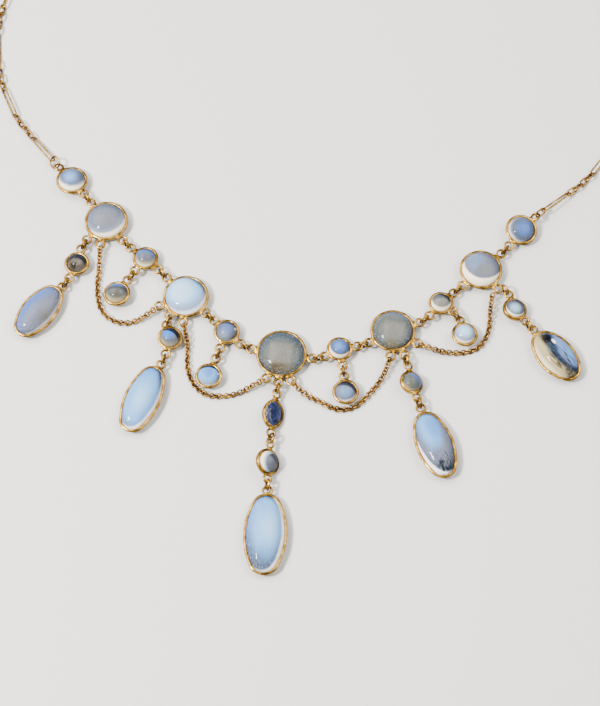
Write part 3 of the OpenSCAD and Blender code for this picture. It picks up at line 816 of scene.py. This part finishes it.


# Each stone's body tone and paints, as the photograph shows them. On a round stone x points
# right and y away from the viewer. On an oval x points to its tip and y to the viewer's right.
# Painted light and shade among the paints: the pearl, cream and straw crescents along the edges are painted
# light that the stone gathers, and the thin slate, ink and steel crescents along the rim are painted shade.
STONES = {
    "centre": ("ash", [
        edge("steel", 0.0, -0.2, 0.75, 1.15, 0.85), patch("umber", -0.1, -0.6, 0.5, 0.2, 0.8),
        # Painted reflection of a softbox: the square dove patch.
        patch("olive", 0.35, -0.66, 0.45, 0.1, 0.7), patch("dove", -0.04, 0.02, 0.58, 0.38, 0.78, True),
        edge("lagoon", -0.06, 0.06, 0.98, 1.08, 0.8)]),
    "spacer_inner_left": ("haze", [
        patch("cornflower", 0.0, 0.3, 0.9, 0.1, 0.8), patch("mist", -0.2, -0.4, 0.8, 0.1, 0.5),
        edge("slate", -0.05, -0.35, 1.1, 1.3, 0.9), edge("mist", 0.0, 0.4, 1.15, 1.35, 0.9),
        # Painted highlight: the small pearl patch.
        patch("pearl", 0.8, 0.35, 0.16, 0.04, 0.5)]),
    "inner_left": ("ice", [
        edge("sky", -0.2, 0.25, 0.3, 0.95, 0.8), edge("mist", -0.15, 0.45, 0.75, 1.2, 0.9),
        edge("slate", -0.3, -0.25, 1.2, 1.36, 0.8), edge("pearl", -0.12, 0.26, 0.98, 1.2, 1.0)]),
    "spacer_outer_left": ("haze", [
        edge("cornflower", 0.0, -0.4, 0.85, 1.2, 0.9), edge("slate", -0.1, -0.4, 1.2, 1.36, 0.8),
        edge("straw", 0.0, 0.6, 0.85, 1.25, 0.8), edge("cream", 0.0, 0.6, 1.15, 1.5, 0.9)]),
    "outer_left": ("lavender", [
        # Painted reflection of a softbox: the square dove patch.
        edge("smoke", 0.0, -0.3, 0.9, 1.25, 0.8), patch("dove", 0.0, 0.1, 0.55, 0.3, 0.4, True),
        edge("slate", -0.08, -0.1, 1.06, 1.16, 0.8), edge("mist", -0.16, 0.36, 0.8, 1.1, 0.7),
        edge("cream", -0.16, 0.36, 1.04, 1.2, 1.0)]),
    "end_left": ("smoke", [
        patch("periwinkle", -0.1, 0.3, 0.9, 0.1, 1.0), patch("ice", -0.1, 0.25, 0.6, 0.0, 0.2),
        edge("mist", 0.0, 0.6, 0.85, 1.15, 0.8), edge("cream", 0.0, 0.6, 1.04, 1.3, 1.0)]),
    "spacer_inner_right": ("smoke", [
        patch("cornflower", 0.0, 0.3, 0.95, 0.4, 1.0), patch("periwinkle", -0.1, 0.35, 0.5, 0.1, 0.7),
        edge("slate", -0.4, 0.1, 1.25, 1.45, 0.8), edge("cream", 0.08, 0.45, 0.95, 1.14, 1.0)]),
    "inner_right": ("ash", [
        # Painted reflection of a softbox: the square dove patch.
        patch("dove", 0.05, -0.02, 0.64, 0.38, 0.75, True), edge("lilac", -0.1, -0.15, 1.0, 1.2, 0.7),
        patch("olive", 0.1, -0.9, 0.6, 0.2, 0.8), edge("mist", 0.06, 0.08, 1.02, 1.08, 0.5)]),
    "spacer_outer_right": ("dove", [
        edge("steel", 0.1, -0.5, 0.9, 1.3, 0.8), edge("ink", -0.35, -0.35, 1.15, 1.36, 0.9),
        edge("straw", 0.0, 0.5, 0.75, 1.0, 0.5), edge("cream", 0.0, 0.5, 0.9, 1.12, 1.0)]),
    "outer_right": ("lavender", [
        patch("sky", -0.4, 0.6, 0.8, 0.1, 0.25), patch("dove", 0.2, 0.0, 0.6, 0.2, 0.5),
        edge("smoke", -0.3, -0.25, 1.05, 1.35, 0.8), edge("cream", 0.1, 0.55, 1.0, 1.14, 1.0)]),
    "end_right": ("smoke", [
        patch("cornflower", 0.16, 0.1, 0.9, 0.2, 1.0), edge("mist", 0.2, 0.1, 0.8, 1.15, 0.6),
        edge("slate", -0.5, 0.0, 1.3, 1.5, 0.8), edge("pearl", 0.2, 0.16, 1.0, 1.25, 0.8)]),
    "pendant_outer_left": ("ash", [
        patch("umber", 0.1, -0.1, 1.0, 0.0, 0.5), edge("slate", 0.0, -0.7, 1.1, 1.45, 0.6),
        edge("cornflower", 0.05, -0.75, 1.4, 1.7, 0.75), edge("straw", 0.0, 0.6, 0.9, 1.4, 1.0)]),
    "pendant_inner_left": ("sky", [
        patch("azure", -0.1, 0.4, 0.75, 0.2, 0.7), edge("ink", 0.0, -0.25, 1.06, 1.18, 0.95),
        edge("steel", -0.3, 0.1, 1.0, 1.3, 0.7), edge("mist", 0.0, 0.5, 0.9, 1.3, 1.0),
        # Painted highlight: the small pearl patch at the end of the next line.
        edge("pearl", -0.05, 0.35, 1.16, 1.3, 0.9), patch("pearl", 0.86, 0.3, 0.12, 0.03, 0.7)]),
    "pendant_inner_right": ("lavender", [
        patch("sky", 0.0, 0.0, 0.9, 0.1, 0.4), edge("slate", -0.15, -0.4, 1.0, 1.16, 0.9),
        edge("ink", -0.1, -0.3, 1.15, 1.27, 0.95), edge("pearl", -0.1, 0.35, 1.08, 1.26, 0.9)]),
    "pendant_outer_right": ("mist", [
        patch("ice", 0.0, 0.38, 0.9, 0.2, 1.0), edge("steel", 0.08, 0.2, 1.0, 1.2, 0.6),
        edge("cream", 0.0, 0.4, 1.02, 1.2, 1.0)]),
    "drop_1_round": ("umber", [
        patch("dove", 0.2, 0.1, 0.5, 0.1, 0.6), patch("moss", -0.3, -0.45, 0.45, 0.1, 0.9),
        edge("slate", 0.0, -0.3, 0.75, 1.0, 0.95), edge("straw", -0.3, 0.3, 1.2, 1.4, 0.9)]),
    "drop_2_round": ("haze", [
        patch("azure", -0.2, 0.55, 0.8, 0.35, 1.0), edge("ink", -0.3, -0.4, 1.1, 1.24, 0.95),
        edge("straw", 0.0, 0.5, 0.8, 1.4, 0.8), edge("pearl", -0.1, 0.2, 1.14, 1.26, 0.7)]),
    "drop_3_round": ("haze", [
        edge("slate", -0.1, -0.5, 1.1, 1.4, 0.7), edge("mist", 0.8, 0.1, 0.95, 1.06, 1.0),
        edge("cream", 0.8, 0.1, 1.1, 1.4, 0.7)]),
    "drop_4_round": ("ash", [
        edge("cornflower", -0.35, -0.4, 1.15, 1.45, 0.8), patch("olive", -0.1, -0.3, 0.5, 0.1, 0.5),
        edge("straw", 0.05, 0.4, 0.96, 1.25, 0.9), edge("pearl", 0.1, 0.15, 1.12, 1.24, 0.8)]),
    "drop_5_round": ("smoke", [
        patch("ice", 0.0, 0.1, 0.85, 0.2, 0.7), edge("slate", -0.1, -0.2, 1.05, 1.2, 0.9),
        edge("cream", 0.06, 0.45, 0.98, 1.2, 1.0)]),
    "drop_1_oval": ("lavender", [
        edge("cornflower", 0.1, 0.6, 0.8, 1.5, 1.0), patch("olive", 0.0, 0.55, 0.6, 0.1, 0.6),
        edge("smoke", 0.3, -0.1, 1.1, 1.35, 0.8), edge("pearl", -0.05, -0.25, 1.05, 1.24, 0.85)]),
    "drop_2_oval": ("sky", [
        edge("azure", 0.35, 0.0, 0.95, 1.4, 0.6), patch("ice", 0.0, -0.05, 0.7, 0.0, 0.6),
        edge("slate", 0.3, -0.3, 1.2, 1.4, 0.8), edge("lavender", -0.5, 0.0, 1.15, 1.5, 0.8),
        edge("pearl", -0.12, -0.2, 1.0, 1.14, 1.0)]),
    "drop_3_oval": ("sky", [
        edge("periwinkle", -0.1, 0.3, 0.7, 1.3, 0.8), patch("ice", -0.2, 0.15, 0.7, 0.0, 0.6),
        edge("smoke", -0.6, 0.1, 0.75, 1.5, 0.9), edge("slate", 0.3, -0.1, 1.18, 1.36, 0.8),
        edge("pearl", -0.08, -0.16, 0.98, 1.1, 1.0)]),
    "drop_4_oval": ("lavender", [
        patch("sky", -0.55, 0.0, 0.9, 0.3, 1.0), patch("azure", -0.6, 0.2, 0.6, 0.1, 0.5),
        edge("steel", -0.6, 0.0, 1.0, 1.5, 0.8), edge("slate", 0.25, 0.0, 1.16, 1.3, 0.8),
        edge("pearl", -0.25, 0.25, 1.12, 1.22, 1.0)]),
    "drop_5_oval": ("periwinkle", [
        edge("slate", 0.1, 1.1, 0.7, 1.05, 0.95), edge("straw", 0.05, 1.1, 1.15, 1.5, 1.0),
        edge("cream", 0.0, 1.0, 1.6, 2.0, 0.9), patch("ink", -0.72, 0.2, 0.45, 0.15, 0.9),
        patch("steel", -0.35, 0.1, 0.35, 0.1, 0.8), patch("ink", 0.85, -0.15, 0.4, 0.1, 0.8),
        # Painted highlight: the small pearl patch.
        patch("pearl", -0.5, 0.45, 0.12, 0.03, 0.9), patch("sky", 0.2, 0.75, 0.35, 0.1, 0.6)]),
}
NEEDLES = {
    "drop_1_round": Needles(-0.15, -0.2, 0.6, 80, 4.0),
    "drop_4_oval": Needles(0.7, 0.15, 0.75, 20, 1.6),
    "drop_5_oval": Needles(0.15, 0.1, 0.9, 8, 4.0),
}

SETTING_GOLD = gold(
    "setting gold", pale=srgb(182, 142, 60), deep=srgb(108, 76, 28), shade=srgb(44, 31, 14),
    low=0.0008, high=0.0018, roughness=0.2)
CHAIN_GOLD = gold(
    "chain gold", pale=srgb(172, 132, 66), deep=srgb(106, 74, 30), shade=srgb(42, 30, 14),
    low=0.0, high=0.0009, roughness=0.22)


def paint_all(piece, material):
    piece.data.materials.clear()
    piece.data.materials.append(material)


for name, (body, paints) in STONES.items():
    stone = Stone(name)
    dome = cabochon(stone)
    paint_all(dome, moonstone("moonstone " + name, stone, body, paints, NEEDLES.get(name)))
    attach(dome, "root")
    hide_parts("stone_" + name)

for name in list(STONES) + [SAPPHIRE]:
    setting = bezel(Stone(name))
    paint_all(setting, SETTING_GOLD)
    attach(setting, "root")
    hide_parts("setting_" + name)

paint_all(NODES["stone_" + SAPPHIRE], sapphire_blue())
for node in ("jump_rings", "clasp"):
    paint_all(NODES[node], SETTING_GOLD)
for node in ("neck_chain_left", "neck_chain_right"):
    paint_all(NODES[node], CHAIN_GOLD)

chance = Random(LINK_SEED)
for node in ("swag_1", "swag_2", "swag_3", "swag_4"):
    chain = swag(node, chance)
    paint_all(chain, CHAIN_GOLD)
    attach(chain, "root")
    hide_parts(node)


# Table, light and camera.
def stage():
    fresh()
    bpy.ops.mesh.primitive_plane_add(size=TABLE_SIZE, location=(0, 0, 0))
    table = bpy.context.object
    table.name = "table"
    paint_all(table, Finish("pale table", Roughness=0.55, Base_Color=srgb(196, 194, 190)).material)


def studio():
    for lamp in LAMPS:
        data = bpy.data.lights.new(lamp.name, "AREA")
        data.shape = "RECTANGLE"
        data.size, data.size_y = lamp.size
        data.energy = lamp.power
        data.color = lamp.colour
        light = bpy.data.objects.new(lamp.name, data)
        light.location = lamp.place
        light.rotation_euler = (Vector(LAMP_AIM) - Vector(lamp.place)).to_track_quat("-Z", "Y").to_euler()
        bpy.context.scene.collection.objects.link(light)
    world = bpy.data.worlds.new("studio")
    world.use_nodes = True
    room = world.node_tree.nodes["Background"]
    room.inputs["Color"].default_value = ROOM_COLOUR
    room.inputs["Strength"].default_value = ROOM_STRENGTH
    bpy.context.scene.world = world


def camera():
    centre = Stone("centre").middle * MM
    aim = Vector((centre.x + AIM_FROM_CENTRE[0], centre.y + AIM_FROM_CENTRE[1], 0))
    data = bpy.data.cameras.new("camera")
    data.sensor_fit = "HORIZONTAL"
    data.sensor_width = SENSOR
    data.lens = FOCAL_PIXELS / FRAME_WIDTH * SENSOR
    data.clip_start = NEAR_CLIP
    eye = bpy.data.objects.new("camera", data)
    eye.location = aim + CAMERA_DISTANCE * PHOTO_LINE
    eye.rotation_euler = (-PHOTO_LINE).to_track_quat("-Z", "Y").to_euler()
    bpy.context.scene.collection.objects.link(eye)
    bpy.context.scene.camera = eye


stage()
studio()
camera()

bpy.context.view_layer.update()
